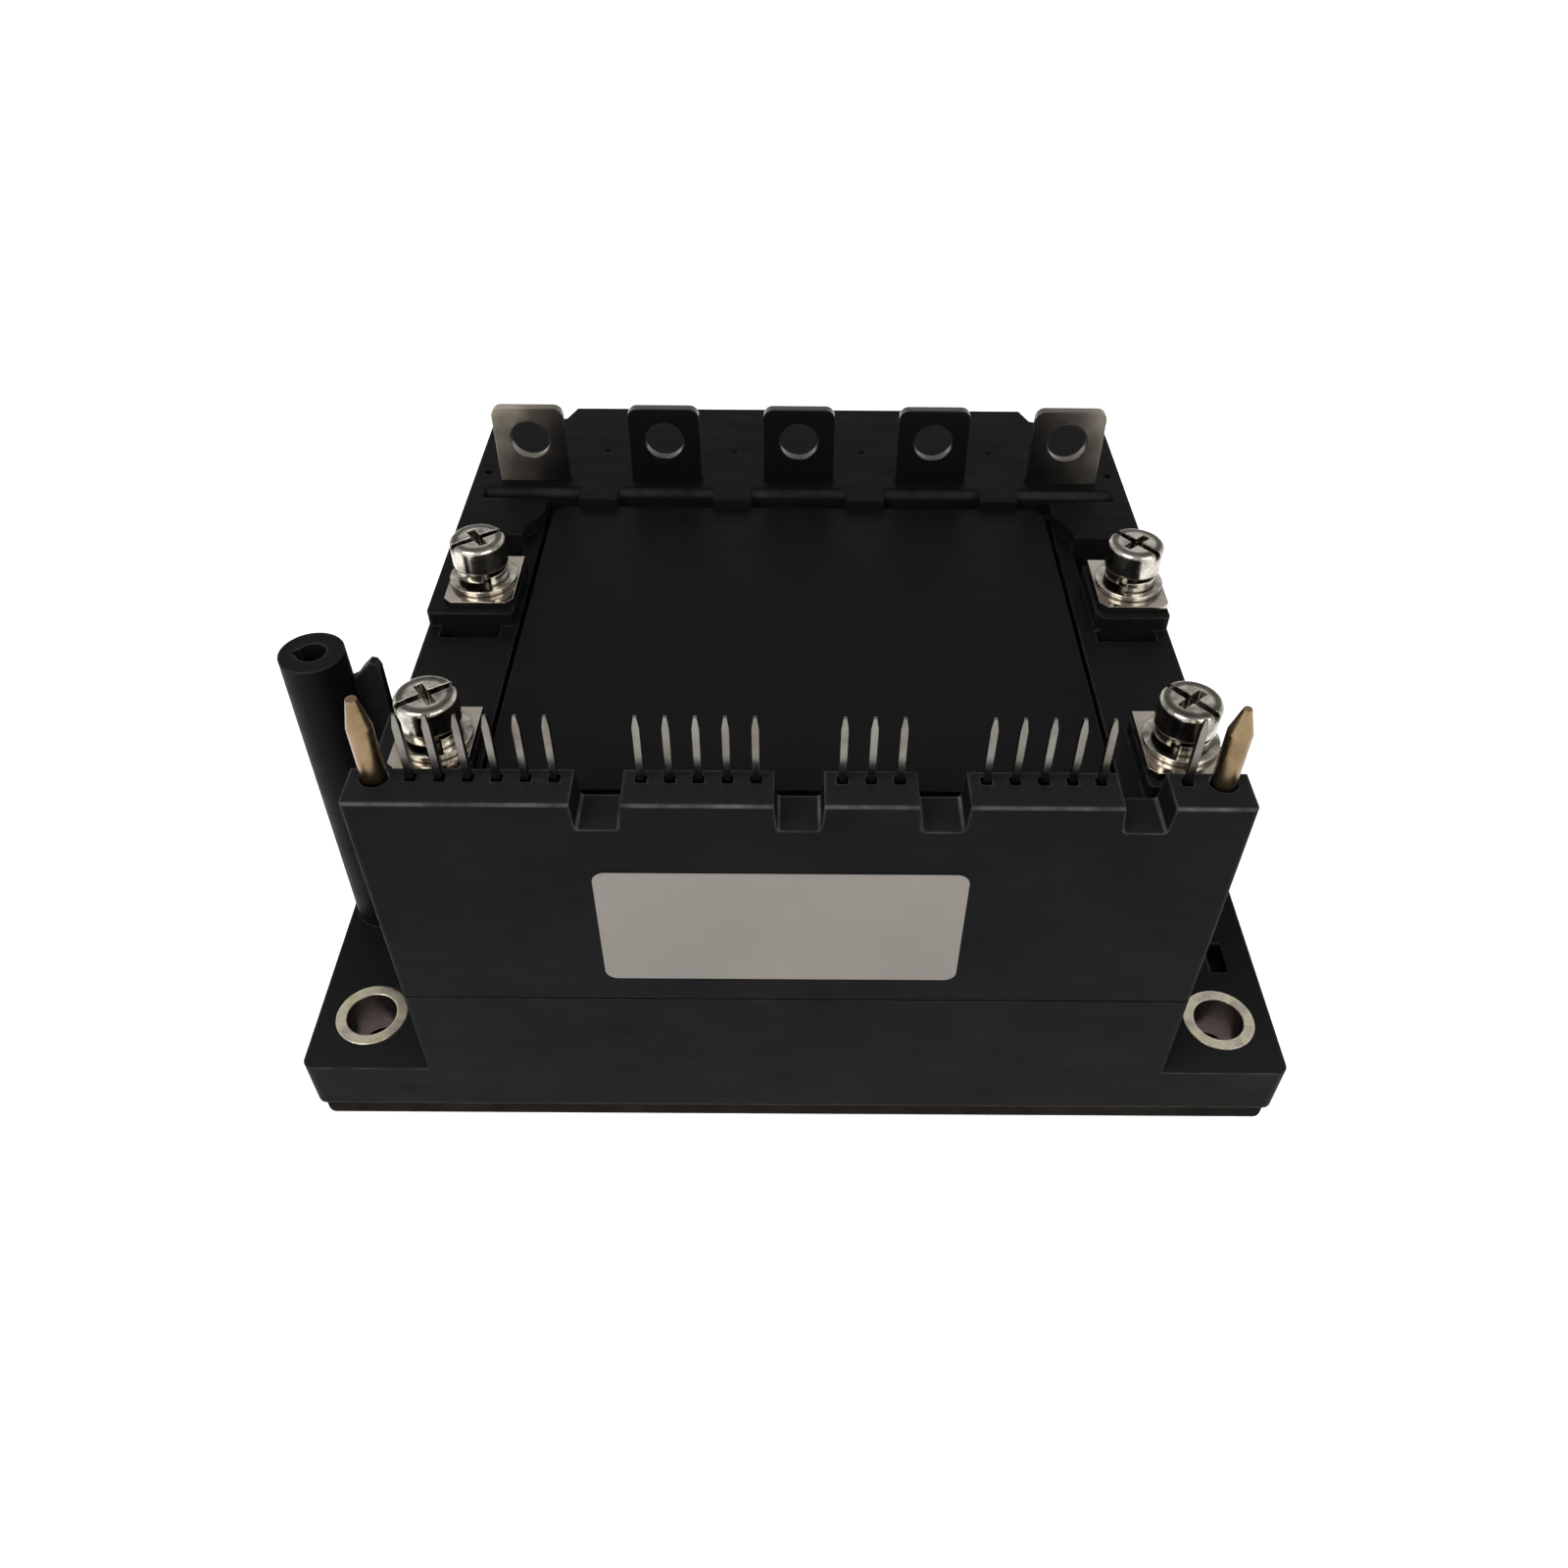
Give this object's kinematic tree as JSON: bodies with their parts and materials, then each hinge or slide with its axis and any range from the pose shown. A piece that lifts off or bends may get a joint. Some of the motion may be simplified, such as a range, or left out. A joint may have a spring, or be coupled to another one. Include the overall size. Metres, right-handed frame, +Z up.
{
  "type": "intelligent power module",
  "caption": "Moulded power semiconductor module on a metal baseplate, with a control pin header, side screw terminals and upright blade terminals.",
  "frame": {"origin": "on the underside of the baseplate, below the middle of the flange", "axes": "+Z up out of the mounting face, +X along the pin header to the right, the header's wall faces -Y"},
  "size_m": [0.107, 0.0881, 0.0588],
  "materials": {
    "plated_copper": "nickel-plated copper, fine ground face",
    "case_plastic": "black glass-filled moulding, fine eroded texture",
    "lid_plastic": "black moulding, smoother than the case",
    "bush_brass": "yellow passivated, turned",
    "plated_strip": "tin-plated copper strip, soft sheen",
    "screw_steel": "bright nickel plating",
    "pin_plating": "tinned square wire",
    "guide_brass": "turned brass",
    "label_film": "silver-grey printed film, left bare",
    "ceramic": "fired ceramic",
    "copper": "bare copper",
    "silicon": "polished silicon with metallised top",
    "bond_aluminium": "soft aluminium ribbon",
    "silicone_gel": "clear soft gel",
    "board_laminate": "solder-masked glass laminate",
    "chip_resin": "moulded resin",
    "capacitor_case": "shrink-sleeved can"
  },
  "bodies": {
    "root": {"baseplate": "plated_copper", "lower_case": "case_plastic", "upper_housing": "case_plastic", "lid": "lid_plastic", "mounting_bushes": "bush_brass", "side_terminal_lf": "plated_strip", "side_terminal_lr": "plated_strip", "side_terminal_rf": "plated_strip", "side_terminal_rr": "plated_strip", "terminal_screws": "screw_steel", "spring_washers": "screw_steel", "flat_washers": "screw_steel", "captive_nuts": "screw_steel", "blade_1": "plated_strip", "blade_2": "plated_strip", "blade_3": "plated_strip", "blade_4": "plated_strip", "blade_5": "plated_strip", "pins_1_to_6": "pin_plating", "pins_7_to_11": "pin_plating", "pins_12_to_14": "pin_plating", "pins_15_to_19": "pin_plating", "pin_20": "pin_plating", "guide_pin_left": "guide_brass", "guide_pin_right": "guide_brass", "label": "label_film", "ceramic_tiles": "ceramic", "copper_tracks": "copper", "igbt_chips": "silicon", "diode_chips": "silicon", "bond_ribbons": "bond_aluminium", "gel_fill": "silicone_gel", "signal_pins": "pin_plating", "control_board": "board_laminate", "driver_chips": "chip_resin", "board_capacitors": "capacitor_case"}
  },
  "joints": []
}
